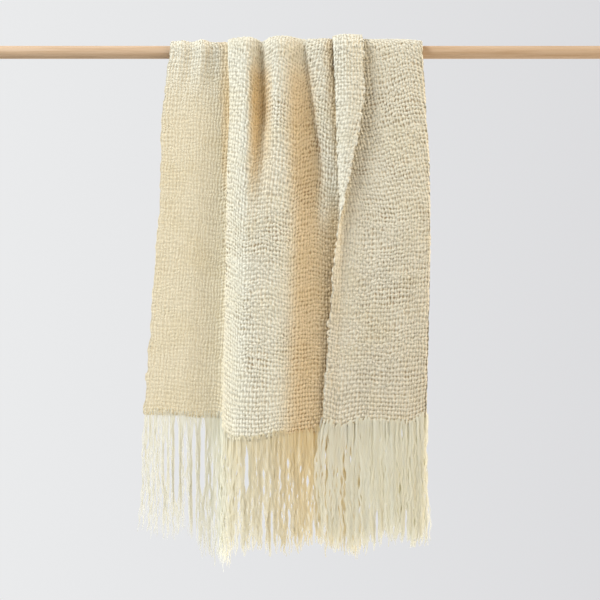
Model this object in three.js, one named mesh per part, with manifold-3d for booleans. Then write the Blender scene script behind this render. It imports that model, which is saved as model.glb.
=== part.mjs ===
// A chunky hand-woven wool blanket, draped over a round wooden rod, with a long fringe at both ends.
// Millimetres, +Z up, the viewer in front at -Y. The origin is the centre of the rod's left end face.
import * as THREE from "three";
import { ParametricGeometry } from "three/addons/geometries/ParametricGeometry.js";
import { mergeVertices } from "three/addons/utils/BufferGeometryUtils.js";
import Module from "manifold-3d";

const wasm = await Module();
wasm.setup();

// Driving dimensions.
const ROD_DIAMETER = 28;
const ROD_LENGTH = 1380;
const ROD_SIDES = 32;
const CLOTH_THICKNESS = 4;
const FRONT_DROP = 800; // from the rod's axis to the front hem
const BACK_DROP = 505; // from the rod's axis to the back hem
const FRINGE_LENGTH = { left: 235, right: 275 };

// How finely the draped sheet is faceted: from fold to fold, down the front, over the rod, down the back.
const FOLD_STEPS = 3;
const FRONT_STEPS = 13;
const WRAP_STEPS = 8;
const BACK_STEPS = 7;
const STEP_CROWDING = 1.25; // the steps down the front and the back crowd towards the rod
const HEM_ROUND = 3; // the hem's edge thins to a line over this length
const MERGE_DISTANCE = 0.001;

// The folds, from the left edge of the cloth to its right edge, as seen from the front. Each row is one
// fold line running down the cloth. "across" is its place along the rod, from the rod's middle, and "out"
// its distance in front of the rod's axis, both at the five heights of LEVELS. "lift" is its height over
// the axis on top of the rod, and "sag" how far it hangs below FRONT_DROP at the hem.
const LEVELS = [0, 120, 240, 400, FRONT_DROP];
const FOLDS = [
  { fold: "left edge", across: [-278, -292, -296, -303, -334], out: [21, 22, 23, 24, 26], lift: 22, sag: -18 },
  { fold: "left panel", across: [-218, -225, -228, -234, -253], out: [21, 22, 23, 24, 24], lift: 22, sag: -16 },
  { fold: "left root", across: [-146, -142, -147, -152, -170], out: [22, 21, 21, 21, 20], lift: 21.5, sag: -8 },
  { fold: "first flank", across: [-154, -150, -155, -157, -164], out: [36, 38, 40, 40, 36], lift: 25.5, sag: 4 },
  { fold: "first ridge", across: [-132, -129, -134, -138, -148], out: [49, 53, 58, 59, 55], lift: 26.5, sag: 13 },
  { fold: "first shoulder", across: [-110, -109, -113, -118, -126], out: [54, 60, 67, 71, 71], lift: 24.5, sag: 20 },
  { fold: "first valley", across: [-81, -78, -83, -92, -100], out: [39, 38, 56, 74, 76.5], lift: 21.5, sag: 25 },
  { fold: "second flank", across: [-71, -68, -68, -68, -76], out: [46, 47, 64, 75, 77], lift: 24, sag: 26 },
  { fold: "second ridge", across: [-49, -49, -50, -46, -63], out: [57, 63, 68, 75, 77], lift: 26.5, sag: 27 },
  { fold: "second shoulder", across: [-25, -25, -24, -20, -46], out: [54, 60, 65, 70, 75], lift: 27.5, sag: 26 },
  { fold: "second valley", across: [12, 29, 45, 30, 8], out: [35, 33, 33, 53, 59], lift: 25.5, sag: 22 },
  { fold: "third flank", across: [16, 33, 50, 58, 42], out: [40, 40, 39, 48, 52], lift: 25, sag: 19 },
  { fold: "third ridge", across: [31, 47, 62, 92, 80], out: [45, 45, 42, 42, 45], lift: 23, sag: 14 },
  { fold: "third shoulder", across: [66, 77, 89, 122, 114], out: [45, 44, 41, 39, 40], lift: 22.5, sag: 10 },
  { fold: "under layer left", across: [86, 101, 114, 149, 142], out: [24, 23, 24, 25, 26], lift: 18.8, sag: 6 },
  { fold: "under layer", across: [165, 169, 173, 185, 182], out: [20, 20, 20, 19, 18], lift: 18.5, sag: 3 },
  { fold: "under layer right", across: [234, 239, 243, 245, 239], out: [20, 20, 21, 22, 22], lift: 18.5, sag: 0 },
  { fold: "right fold", across: [263, 270, 277, 279, 271], out: [27, 28, 31, 34, 35], lift: 22.3, sag: -5 },
  { fold: "right panel", across: [226, 230, 233, 233, 226], out: [35, 37, 41, 44, 46], lift: 26, sag: 0 },
  { fold: "panel left", across: [112, 112, 112, 114, 112], out: [44, 45, 47, 49, 52], lift: 25, sag: 3 },
  { fold: "lapel turn", across: [72, 77, 81, 88, 78], out: [51, 52, 52, 52, 54], lift: 29, sag: 4 },
  { fold: "lapel", across: [96, 100, 94, 83, 64], out: [59, 60, 61, 58, 55.5], lift: 33.2, sag: 2 },
  { fold: "right edge", across: [134, 134, 112, 80, 49], out: [54, 58, 64, 63, 57], lift: 33, sag: 0 },
];

// The back hangs in the front's folds, shallower, measured from this distance behind the rod's axis.
const BACK_FOLD_SHARE = 0.6;
const BACK_REST = 20;

// The fringe: a row of knots along each hem, and the locks of yarn that hang from it.
const KNOT_ROW_GAP = 0.6;
const KNOT_ROW_HEIGHT = 8;
const KNOT_ROW_THICKNESS = 5.5;
const LOCKS = 92;
const LOCK_SIDES = 3;
const LOCK_STEPS = 3;
const LOCK_ROOT_RADIUS = 2;
const LOCK_BELLY_RADIUS = 3.6;
const LOCK_BELLY_AT = 1 / 3; // share of the length
const LOCK_TIP_RADIUS = 1.4;
const LOCK_INSET = 4; // how deep a lock's root sits in the knot row
const LOCK_UNEVEN = 14; // how far the locks' lengths differ from FRINGE_LENGTH
const LOCK_SWAY = 4.5;
const LOCK_SPREAD = 12; // how far the first lock at the left edge swings out
const LOCK_SPREAD_FADE = 9;
const LOCK_WAVES = { quick: 0.9, slow: 0.37, length: 1.7 }; // radians from one lock to the next

const wool = new THREE.MeshStandardMaterial({ color: 0xe9dfc4, roughness: 0.95, metalness: 0 });
const fringeWool = new THREE.MeshStandardMaterial({ color: 0xefe7d0, roughness: 0.95, metalness: 0 });
const wood = new THREE.MeshStandardMaterial({ color: 0xd2a679, roughness: 0.6, metalness: 0 });

// A value listed at LEVELS, read at any height by a smooth curve through the five.
function atHeight(values, height) {
  const last = LEVELS.length - 1;
  const place = THREE.MathUtils.clamp(height, 0, LEVELS[last]);
  let i = 0;
  while (i < last - 1 && place > LEVELS[i + 1]) {
    i += 1;
  }
  const slope = (k) => {
    const a = Math.max(k - 1, 0);
    const b = Math.min(k + 1, last);
    return (values[b] - values[a]) / (LEVELS[b] - LEVELS[a]);
  };
  const span = LEVELS[i + 1] - LEVELS[i];
  const t = (place - LEVELS[i]) / span;
  const ease = t * t * (3 - 2 * t);
  const leave = t * (1 - t) * (1 - t);
  const arrive = t * t * (1 - t);
  const level = values[i] + (values[i + 1] - values[i]) * ease;
  return level + span * (slope(i) * leave - slope(i + 1) * arrive);
}

// One fold line's point at a height below the axis, on the front.
function frontPoint(row, height) {
  const z = -height - (row.sag * height) / FRONT_DROP;
  return new THREE.Vector3(atHeight(row.across, height), -atHeight(row.out, height), z);
}

// The same fold line on the back, where the length that sags in front is missing.
function backPoint(row, height) {
  const out = BACK_REST + (atHeight(row.out, height) - BACK_REST) * BACK_FOLD_SHARE;
  const start = row.out[0] - BACK_REST - (row.out[0] - BACK_REST) * BACK_FOLD_SHARE;
  const settled = Math.exp(-height / LEVELS[1]);
  const z = -height + (row.sag * height) / BACK_DROP;
  return new THREE.Vector3(atHeight(row.across, height), out + start * settled, z);
}

// The same fold line over the rod, from the front (angle 0) over the top to the back (angle pi).
function wrapPoint(row, angle) {
  const radius = row.lift + (row.out[0] - row.lift) * Math.cos(angle) ** 2;
  return new THREE.Vector3(row.across[0], -radius * Math.cos(angle), radius * Math.sin(angle));
}

// The stations along the cloth's length, from the front hem to the back hem, each a curve across the width.
function acrossCloth(pointOf) {
  return new THREE.CatmullRomCurve3(FOLDS.map(pointOf), false, "centripetal");
}

function frontCurve(height) {
  return acrossCloth((row) => frontPoint(row, height));
}

function backCurve(height) {
  return acrossCloth((row) => backPoint(row, height));
}

function clothStations() {
  const stations = [frontCurve(FRONT_DROP)];
  for (let i = 0; i < FRONT_STEPS; i += 1) {
    const share = 1 - i / FRONT_STEPS;
    stations.push(frontCurve((FRONT_DROP - HEM_ROUND) * share ** STEP_CROWDING));
  }
  for (let i = 0; i <= WRAP_STEPS; i += 1) {
    const angle = (Math.PI * i) / WRAP_STEPS;
    stations.push(acrossCloth((row) => wrapPoint(row, angle)));
  }
  for (let i = 1; i <= BACK_STEPS; i += 1) {
    const share = i / BACK_STEPS;
    stations.push(backCurve((BACK_DROP - HEM_ROUND) * share ** STEP_CROWDING));
  }
  stations.push(backCurve(BACK_DROP));
  return stations;
}

// A closed geometry that holds only positions, with its shared vertices merged and no collapsed triangle.
function closed(geometry) {
  geometry.deleteAttribute("normal");
  geometry.deleteAttribute("uv");
  const merged = mergeVertices(geometry, MERGE_DISTANCE);
  const kept = [];
  const index = merged.index.array;
  for (let i = 0; i < index.length; i += 3) {
    const [a, b, c] = index.slice(i, i + 3);
    if (a !== b && b !== c && c !== a) {
      kept.push(a, b, c);
    }
  }
  return merged.setIndex(kept);
}

// A sheet of the given thickness on a grid of mid-surface points, rows of equal length. Each row becomes a
// loop down one face and back along the other, and the first and last rows close to a line.
function sheetOf(rows, thickness) {
  const across = rows[0].length - 1;
  const along = rows.length - 1;
  const loop = 2 * across + 2;
  const face = rows.map((row, r) =>
    row.map((point, c) => {
      const down = rows[Math.min(r + 1, along)][c].clone().sub(rows[Math.max(r - 1, 0)][c]);
      const side = row[Math.min(c + 1, across)].clone().sub(row[Math.max(c - 1, 0)]);
      return side.cross(down).normalize().multiplyScalar(thickness / 2);
    }),
  );
  const surface = (a, b, target) => {
    const r = Math.round(b * along);
    const step = Math.round(a * loop) % loop;
    const c = step <= across ? step : 2 * across + 1 - step;
    const turn = step <= across ? 1 : -1;
    const open = r === 0 || r === along ? 0 : turn;
    target.copy(rows[r][c]).addScaledVector(face[r][c], open);
  };
  return closed(new ParametricGeometry(surface, loop, along));
}

function pointsAcross(curve) {
  return curve.getPoints((FOLDS.length - 1) * FOLD_STEPS);
}

function blanketGeometry() {
  return sheetOf(clothStations().map(pointsAcross), CLOTH_THICKNESS);
}

// The knot row: a narrow strip that follows the hem a hair below it.
function knotRowGeometry(hem) {
  const start = KNOT_ROW_GAP;
  const end = KNOT_ROW_GAP + KNOT_ROW_HEIGHT;
  const depths = [start, start + HEM_ROUND / 2, end - HEM_ROUND / 2, end];
  const rows = depths.map((depth) => {
    const points = pointsAcross(hem);
    points.forEach((point) => (point.z -= depth));
    return points;
  });
  return sheetOf(rows, KNOT_ROW_THICKNESS);
}

// A lock of fringe: a soft three-sided strand, fuller a little below its root and thin at its tip. It sways
// nearly as its neighbours do, so the locks stand apart.
function lockGeometry(root, number) {
  const place = number / LOCKS;
  const drift = LOCK_SWAY * (Math.sin(number * LOCK_WAVES.quick) + Math.sin(number * LOCK_WAVES.slow));
  const spread = LOCK_SPREAD * (1 - place) ** LOCK_SPREAD_FADE;
  const evenLength = THREE.MathUtils.lerp(FRINGE_LENGTH.left, FRINGE_LENGTH.right, place);
  const length = evenLength + LOCK_UNEVEN * Math.sin(number * LOCK_WAVES.length);
  const geometry = new THREE.CylinderGeometry(1, 1, length, LOCK_SIDES, LOCK_STEPS);
  const places = geometry.getAttribute("position");
  for (let i = 0; i < places.count; i += 1) {
    const share = 0.5 - places.getY(i) / length;
    const swell = Math.sin((Math.PI / 2) * Math.min(share / LOCK_BELLY_AT, 2)) ** 2;
    const taper = THREE.MathUtils.lerp(LOCK_ROOT_RADIUS, LOCK_TIP_RADIUS, share);
    const radius = Math.max(taper, LOCK_BELLY_RADIUS * swell);
    const swing = share ** 2;
    places.setXYZ(
      i,
      root.x + places.getX(i) * radius + (drift - spread) * swing,
      root.y - places.getZ(i) * radius - (drift / 2) * swing,
      root.z - share * length,
    );
  }
  return closed(geometry);
}

// A closed geometry as a solid that can be joined, and back.
function solidOf(geometry) {
  return new wasm.Manifold(
    new wasm.Mesh({
      numProp: 3,
      vertProperties: new Float32Array(geometry.getAttribute("position").array),
      triVerts: new Uint32Array(geometry.index.array),
    }),
  );
}

function geometryOf(solid) {
  const { vertProperties, triVerts } = solid.getMesh();
  return new THREE.BufferGeometry()
    .setAttribute("position", new THREE.BufferAttribute(vertProperties, 3))
    .setIndex(new THREE.BufferAttribute(triVerts, 1));
}

function fringeGeometry(hem) {
  let fringe = solidOf(knotRowGeometry(hem));
  const line = new THREE.CurvePath();
  const points = pointsAcross(hem);
  points.slice(1).forEach((point, i) => line.add(new THREE.LineCurve3(points[i], point)));
  for (let i = 0; i < LOCKS; i += 1) {
    const root = line.getPoint((i + 0.5) / LOCKS);
    root.z -= KNOT_ROW_GAP + KNOT_ROW_HEIGHT - LOCK_INSET;
    fringe = fringe.add(solidOf(lockGeometry(root, i)));
  }
  return geometryOf(fringe);
}

function rodGeometry() {
  const radius = ROD_DIAMETER / 2;
  return new THREE.CylinderGeometry(radius, radius, ROD_LENGTH, ROD_SIDES).rotateZ(Math.PI / 2);
}

function named(name, geometry, material) {
  const mesh = new THREE.Mesh(geometry, material);
  mesh.name = name;
  return mesh;
}

const blanketOnRod = new THREE.Group();
const aboutRodMiddle = new THREE.Group();
aboutRodMiddle.position.x = ROD_LENGTH / 2;
aboutRodMiddle.add(
  named("rod", rodGeometry(), wood),
  named("blanket", blanketGeometry(), wool),
  named("fringe_front", fringeGeometry(frontCurve(FRONT_DROP)), fringeWool),
  named("fringe_back", fringeGeometry(backCurve(BACK_DROP)), fringeWool),
);
blanketOnRod.add(aboutRodMiddle);

export default blanketOnRod;
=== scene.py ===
import math

import bmesh
import bpy
import numpy as np
from mathutils import Matrix


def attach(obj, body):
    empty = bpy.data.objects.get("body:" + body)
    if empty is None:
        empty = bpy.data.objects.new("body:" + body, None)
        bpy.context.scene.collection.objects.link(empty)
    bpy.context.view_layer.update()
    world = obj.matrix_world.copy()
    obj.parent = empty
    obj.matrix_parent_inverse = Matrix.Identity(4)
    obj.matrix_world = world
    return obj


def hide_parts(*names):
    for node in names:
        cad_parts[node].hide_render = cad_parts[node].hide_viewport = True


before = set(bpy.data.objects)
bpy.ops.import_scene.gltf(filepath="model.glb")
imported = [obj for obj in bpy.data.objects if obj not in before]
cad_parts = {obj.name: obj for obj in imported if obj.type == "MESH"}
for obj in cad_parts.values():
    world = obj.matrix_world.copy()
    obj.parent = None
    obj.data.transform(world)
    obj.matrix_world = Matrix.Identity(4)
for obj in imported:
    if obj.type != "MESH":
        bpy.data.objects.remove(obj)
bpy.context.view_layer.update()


# The view: a level camera straight in front of the drape, far off with a long lens, as a studio
# shot of a hanging blanket is taken. The rod runs out of the picture on both sides.
MM = 0.001
ROD_MIDDLE = 690 * MM
VIEW_DISTANCE = 3600 * MM
VIEW_HEIGHT = -537.5 * MM
VIEW_SENSOR = 36
VIEW_LENS = 99.5
scene = bpy.context.scene
scene.view_settings.view_transform = "Standard"
camera_data = bpy.data.cameras.new("camera")
camera_data.sensor_width = VIEW_SENSOR
camera_data.lens = VIEW_LENS
camera = bpy.data.objects.new("camera", camera_data)
camera.location = (ROD_MIDDLE, -VIEW_DISTANCE, VIEW_HEIGHT)
camera.rotation_euler = (math.pi / 2, 0, 0)
scene.collection.objects.link(camera)
scene.camera = camera


# The rod: a plain round dowel of pale wood, fine sanded and sawn square at both ends, with the
# sawn edges just broken. It is held at its ends and carries the whole blanket.
ROD_RADIUS = 14 * MM
ROD_LENGTH = 1380 * MM
ROD_SIDES = 96
ROD_EDGE = 0.8 * MM
WOOD_PALE = (0.70, 0.49, 0.31, 1)
WOOD_DEEP = (0.59, 0.385, 0.22, 1)
WOOD_STOPS = (0.34, 0.6)
GRAIN_STRETCH = (3.5, 130, 130)
PORE_STRETCH = (30, 1500, 1500)
PORE_SHADE = 0.86
PORE_HEIGHT = 0.3 * MM


def add(tree, kind, inputs=None, **settings):
    """A shader node with its settings made, and each input set or linked."""
    made = tree.nodes.new(kind)
    for name, value in settings.items():
        setattr(made, name, value)
    for name, value in (inputs or {}).items():
        if isinstance(value, bpy.types.NodeSocket):
            tree.links.new(value, made.inputs[name])
        else:
            made.inputs[name].default_value = value
    return made


def finish_named(name):
    """A new material: itself, its node tree, its shader, and the place on the piece that wears it."""
    material = bpy.data.materials.new(name)
    material.use_nodes = True
    tree = material.node_tree
    place = add(tree, "ShaderNodeTexCoord").outputs["Object"]
    return material, tree, tree.nodes["Principled BSDF"], place


def stretched(tree, place, scale):
    """The place on a piece, scaled along each axis."""
    return add(tree, "ShaderNodeMapping", {"Vector": place, "Scale": scale}).outputs[0]


def mottle(tree, place, scale, detail, distortion=0.0):
    """Cloudy noise over a piece."""
    inputs = {"Vector": place, "Scale": scale, "Detail": detail, "Distortion": distortion}
    return add(tree, "ShaderNodeTexNoise", inputs).outputs["Fac"]


def two_tones(tree, factor, deep, pale, stops=(0, 1)):
    """A colour from deep to pale, as the factor goes from the first stop to the second."""
    ramp = add(tree, "ShaderNodeValToRGB", {"Fac": factor})
    for element, stop, colour in zip(ramp.color_ramp.elements, stops, (deep, pale)):
        element.position = stop
        element.color = colour
    return ramp.outputs["Color"]


def ranged(tree, value, start, end, low=0.0, high=1.0):
    """A value's way from start to end, as a way from low to high."""
    inputs = {"Value": value, "From Min": start, "From Max": end, "To Min": low, "To Max": high}
    return add(tree, "ShaderNodeMapRange", inputs).outputs[0]


def tinted(tree, share, colour, tint):
    """A colour multiplied by a tint, as far as the share says."""
    inputs = {0: share, 6: colour, 7: tint}
    return add(tree, "ShaderNodeMix", inputs, data_type="RGBA", blend_type="MULTIPLY").outputs[2]


def roughen(tree, shader, height, strength, distance):
    """Fine relief on a finish, of this height."""
    bump = add(tree, "ShaderNodeBump", {"Height": height, "Strength": strength, "Distance": distance})
    tree.links.new(bump.outputs[0], shader.inputs["Normal"])


def put_on(mesh, name, material):
    """A finished mesh as a piece that rides on the one body, with its material."""
    piece = bpy.data.objects.new(name, mesh)
    scene.collection.objects.link(piece)
    mesh.materials.append(material)
    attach(piece, "root")
    return piece


wood, tree, shader, place = finish_named("sanded_wood")
grain = mottle(tree, stretched(tree, place, GRAIN_STRETCH), scale=1.6, detail=5, distortion=0.5)
pores = mottle(tree, stretched(tree, place, PORE_STRETCH), scale=1, detail=2)
colour = two_tones(tree, grain, WOOD_DEEP, WOOD_PALE, WOOD_STOPS)
colour = tinted(tree, 1.0, colour, ranged(tree, pores, start=0.3, end=1, low=PORE_SHADE))
tree.links.new(colour, shader.inputs["Base Color"])
roughen(tree, shader, pores, strength=0.15, distance=PORE_HEIGHT)
shader.inputs["Roughness"].default_value = 0.6
shader.inputs["Specular IOR Level"].default_value = 0.3

dowel = bmesh.new()
bmesh.ops.create_cone(
    dowel, cap_ends=True, segments=ROD_SIDES, radius1=ROD_RADIUS, radius2=ROD_RADIUS, depth=ROD_LENGTH
)
sawn = [edge for edge in dowel.edges if any(len(face.verts) > 4 for face in edge.link_faces)]
bmesh.ops.bevel(dowel, geom=sawn, offset=ROD_EDGE, segments=2, profile=0.5, affect="EDGES", material=-1)
for face in dowel.faces:
    face.smooth = len(face.verts) == 4
bmesh.ops.rotate(dowel, verts=dowel.verts, matrix=Matrix.Rotation(math.pi / 2, 3, "Y"))
bmesh.ops.translate(dowel, verts=dowel.verts, vec=(ROD_LENGTH / 2, 0, 0))
rod_mesh = bpy.data.meshes.new("rod_dowel")
dowel.to_mesh(rod_mesh)
dowel.free()
rod = put_on(rod_mesh, "rod_dowel", wood)
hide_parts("rod")


# The drape: one length of heavy wool cloth hung over the rod, gathered in the middle into three ridges,
# with its right part turned back over itself. Its weight holds it. Behind the rod it is shorter, and its
# folds have BACK_FOLD_SHARE of their depth. Drops and folds are in millimetres.
FRONT_DROP = 800
BACK_DROP = 505
BACK_FOLD_SHARE = 0.6
BACK_REST = 20
# A row is a fold line, from the left edge to the right: its place along the rod and its distance in front
# of the axis at each of LEVELS, its lift over the rod, and its sag.
LEVELS = np.array([0, 120, 240, 400, FRONT_DROP], float)
FOLDS = [
    ("left edge", (-278, -292, -296, -303, -334), (21, 22, 23, 24, 26), 22, -18),
    ("left panel", (-218, -225, -228, -234, -253), (21, 22, 23, 24, 24), 22, -16),
    ("left root", (-146, -142, -147, -152, -170), (22, 21, 21, 21, 20), 21.5, -8),
    ("first flank", (-154, -150, -155, -157, -164), (36, 38, 40, 40, 36), 25.5, 4),
    ("first ridge", (-132, -129, -134, -138, -148), (49, 53, 58, 59, 55), 26.5, 13),
    ("first shoulder", (-110, -109, -113, -118, -126), (54, 60, 67, 71, 71), 24.5, 20),
    ("first valley", (-81, -78, -83, -92, -100), (39, 38, 56, 74, 76.5), 21.5, 25),
    ("second flank", (-71, -68, -68, -68, -76), (46, 47, 64, 75, 77), 24, 26),
    ("second ridge", (-49, -49, -50, -46, -63), (57, 63, 68, 75, 77), 26.5, 27),
    ("second shoulder", (-25, -25, -24, -20, -46), (54, 60, 65, 70, 75), 27.5, 26),
    ("second valley", (12, 29, 45, 30, 8), (35, 33, 33, 53, 59), 25.5, 22),
    ("third flank", (16, 33, 50, 58, 42), (40, 40, 39, 48, 52), 25, 19),
    ("third ridge", (31, 47, 62, 92, 80), (45, 45, 42, 42, 45), 23, 14),
    ("third shoulder", (66, 77, 89, 122, 114), (45, 44, 41, 39, 40), 22.5, 10),
    ("under layer left", (86, 101, 114, 149, 142), (24, 23, 24, 25, 26), 18.8, 6),
    ("under layer", (165, 169, 173, 185, 182), (20, 20, 20, 19, 18), 18.5, 3),
    ("under layer right", (234, 239, 243, 245, 239), (20, 20, 21, 22, 22), 18.5, 0),
    ("right fold", (263, 270, 277, 279, 271), (27, 28, 31, 34, 35), 22.3, -5),
    ("right panel", (226, 230, 233, 233, 226), (35, 37, 41, 44, 46), 26, 0),
    ("panel left", (112, 112, 112, 114, 112), (44, 45, 47, 49, 52), 25, 3),
    ("lapel turn", (72, 77, 81, 88, 78), (51, 52, 52, 52, 54), 29, 4),
    ("lapel", (96, 100, 94, 83, 64), (59, 60, 61, 58, 55.5), 33.2, 2),
    ("right edge", (134, 134, 112, 80, 49), (54, 58, 64, 63, 57), 33, 0),
]
# Small creases where the cloth bends over the rod: share of the width, half width, rise. They fade out
# below the rod and behind it.
CREASES = [
    (0.028, 0.012, 2.5), (0.052, 0.01, -1.2), (0.08, 0.014, 4.5), (0.115, 0.014, -1.2),
    (0.268, 0.012, -3.2),
]
CREASE_DEPTHS, CREASE_FADE = (0, 45, 100), (1, 0.7, 0)
CREASE_BEHIND = 20 * MM
FRONT_ROWS, WRAP_ROWS, BACK_ROWS = 260, 40, 160
FOLD_SAMPLES = 40
GRID_ACROSS, GRID_ALONG = 420, 460

across = np.array([row[1] for row in FOLDS], float)
out = np.array([row[2] for row in FOLDS], float)
lift = np.array([row[3] for row in FOLDS], float)
sag = np.array([row[4] for row in FOLDS], float)


def at_heights(values, heights):
    """Each fold's values at LEVELS, read at any heights by a smooth curve: a row for each height."""
    slopes = np.empty_like(values)
    slopes[:, 1:-1] = (values[:, 2:] - values[:, :-2]) / (LEVELS[2:] - LEVELS[:-2])
    slopes[:, 0] = (values[:, 1] - values[:, 0]) / (LEVELS[1] - LEVELS[0])
    slopes[:, -1] = (values[:, -1] - values[:, -2]) / (LEVELS[-1] - LEVELS[-2])
    i = np.clip(np.searchsorted(LEVELS, heights) - 1, 0, len(LEVELS) - 2)
    span = LEVELS[i + 1] - LEVELS[i]
    t = (heights - LEVELS[i]) / span
    level = values[:, i] + (values[:, i + 1] - values[:, i]) * t * t * (3 - 2 * t)
    bend = slopes[:, i] * t * (1 - t) ** 2 - slopes[:, i + 1] * t * t * (1 - t)
    return (level + span * bend).T


def fold_lines():
    """The fold lines' points at stations from the front hem over the rod to the back hem."""
    down = np.linspace(FRONT_DROP, 0, FRONT_ROWS)
    front = np.stack(
        [at_heights(across, down), -at_heights(out, down), -down[:, None] * (1 + sag / FRONT_DROP)], axis=2
    )
    angle = np.linspace(0, math.pi, WRAP_ROWS)[1:-1, None]
    radius = lift + (out[:, 0] - lift) * np.cos(angle) ** 2
    level = np.broadcast_to(across[:, 0], radius.shape)
    wrap = np.stack([level, -radius * np.cos(angle), radius * np.sin(angle)], axis=2)
    down = np.linspace(0, BACK_DROP, BACK_ROWS)
    behind = BACK_REST + (at_heights(out, down) - BACK_REST) * BACK_FOLD_SHARE
    start = (out[:, 0] - BACK_REST) * (1 - BACK_FOLD_SHARE) * np.exp(-down[:, None] / LEVELS[1])
    back = np.stack(
        [at_heights(across, down), behind + start, -down[:, None] * (1 - sag / BACK_DROP)], axis=2
    )
    return np.concatenate([front, wrap, back])


def curve_through(points):
    """A smooth curve through each station's points, evenly eased as a hanging cloth is."""
    first = 2 * points[:, :1] - points[:, 1:2]
    last = 2 * points[:, -1:] - points[:, -2:-1]
    p = np.concatenate([first, points, last], axis=1)
    chord = np.maximum(np.linalg.norm(np.diff(p, axis=1), axis=2, keepdims=True) ** 0.5, 1e-4)
    d0, d1, d2 = chord[:, :-2], chord[:, 1:-1], chord[:, 2:]
    p0, p1, p2, p3 = p[:, :-3], p[:, 1:-2], p[:, 2:-1], p[:, 3:]
    leave = ((p1 - p0) / d0 - (p2 - p0) / (d0 + d1) + (p2 - p1) / d1) * d1
    arrive = ((p2 - p1) / d1 - (p3 - p1) / (d1 + d2) + (p3 - p2) / d2) * d1
    t = np.linspace(0, 1, FOLD_SAMPLES, endpoint=False)[None, None, :, None]
    p1, p2, leave, arrive = p1[:, :, None], p2[:, :, None], leave[:, :, None], arrive[:, :, None]
    curve = p1 + leave * t + (3 * (p2 - p1) - 2 * leave - arrive) * t**2
    curve = curve + (2 * (p1 - p2) + leave + arrive) * t**3
    return np.concatenate([curve.reshape(len(points), -1, 3), points[:, -1:]], axis=1)


def even_steps(lines, count):
    """Each line of points again, at this many even steps along its own length."""
    steps = []
    for line in lines:
        length = np.concatenate([[0], np.cumsum(np.linalg.norm(np.diff(line, axis=0), axis=1))])
        at = np.linspace(0, length[-1], count)
        steps.append(np.stack([np.interp(at, length, line[:, k]) for k in range(3)], axis=1))
    return np.array(steps)


def unit(vectors):
    """Vectors brought to a length of one."""
    return vectors / np.maximum(np.linalg.norm(vectors, axis=-1, keepdims=True), 1e-9)


def cloth_ways(grid):
    """The weft, warp and face directions at each point of the grid."""
    weft_way = unit(np.gradient(grid, axis=1))
    warp_way = unit(np.gradient(grid, axis=0))
    return weft_way, warp_way, unit(np.cross(weft_way, warp_way))


folds_grid = even_steps(curve_through(fold_lines()), GRID_ACROSS)
folds_grid = even_steps(folds_grid.transpose(1, 0, 2), GRID_ALONG).transpose(1, 0, 2) * MM
folds_grid[:, :, 0] += ROD_MIDDLE
bare_face = cloth_ways(folds_grid)[2]
near_rod = np.interp(-folds_grid[:, :, 2] / MM, CREASE_DEPTHS, CREASE_FADE)
near_rod = near_rod * np.clip(1 - folds_grid[:, :, 1] / CREASE_BEHIND, 0, 1)
for share, half_width, height in CREASES:
    bend = np.exp(-(((np.linspace(0, 1, GRID_ACROSS) - share) / half_width) ** 2))
    folds_grid = folds_grid + bare_face * (height * MM * bend * near_rod)[..., None]
SURFACE = np.concatenate([folds_grid, *cloth_ways(folds_grid)], axis=2)
CLOTH_WIDTH = np.linalg.norm(np.diff(folds_grid, axis=1), axis=2).sum(axis=1).mean()
CLOTH_LENGTH = np.linalg.norm(np.diff(folds_grid, axis=0), axis=2).sum(axis=0).mean()


def on_cloth(u, v):
    """Points of the cloth at shares of its width and length, and its weft, warp and face directions."""
    inside, within = np.clip(u, 0, 1), np.clip(v, 0, 1)
    x = inside * (GRID_ACROSS - 1)
    y = within * (GRID_ALONG - 1)
    i = np.minimum(x.astype(int), GRID_ACROSS - 2)
    j = np.minimum(y.astype(int), GRID_ALONG - 2)
    a, b = (x - i)[..., None], (y - j)[..., None]
    near = SURFACE[j, i] * (1 - a) + SURFACE[j, i + 1] * a
    far = SURFACE[j + 1, i] * (1 - a) + SURFACE[j + 1, i + 1] * a
    here = near * (1 - b) + far * b
    weft, warp, face = (unit(here[..., k : k + 3]) for k in (3, 6, 9))
    beyond_edge = weft * ((u - inside) * CLOTH_WIDTH)[..., None]
    beyond_hem = warp * ((v - within) * CLOTH_LENGTH)[..., None]
    return here[..., :3] + beyond_edge + beyond_hem, weft, warp, face


# The cloth's ground: the felted heart of a chunky plain weave of slubby wool, one thin sheet on the folds.
# Fulling has closed most gaps between the yarns, and it stays open in loosely beaten patches. Its colour
# is painted shade: darker than the wool, it shows between the yarns as their shade, darker still where the
# weave is open.
WARPS = 132
WEFTS = 170
GROUND_THICKNESS = 0.8 * MM
HEART_SHADE_PALE = (0.64, 0.55, 0.40, 1)
HEART_SHADE_DEEP = (0.52, 0.44, 0.30, 1)
HEART_OPEN_SHADE = (0.58, 0.50, 0.42, 1)
HEART_HEIGHT = 0.5 * MM
# Painted shade: the colour the wool is brought to within the folds, darker and warmer, in place of their
# shade.
WOOL_PAINTED_FOLD_SHADE = (0.95, 0.74, 0.48, 1)
WORN_BY_SPREAD, WORN_THROUGH = 2, 1.35
# How far the crossings stray from an even grid, in pitches: each wave's height and its spread in cells.
STRAY_ACROSS = [(0.12, (0.7, 7)), (0.18, (0.5, 0.5))]
STRAY_ALONG = [(0.18, (4, 0.6)), (0.18, (0.5, 0.5)), (0.5, (16, 9)), (0.2, (3, 3))]
# The right panel hangs a little askew: its wefts rise to the right, most of all just below the rod. Shares
# are of the width, heights are shares of the length from the front hem, and the rise is in wefts.
TILT_SHARES, TILT_RISE = (0.55, 0.72, 0.94, 1), (0, 5.5, 0, 0)
TILT_HEIGHTS, TILT_FADE = (0, 0.25, 0.4, 0.52, 0.6), (0, 0.5, 1, 0.9, 0)
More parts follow.
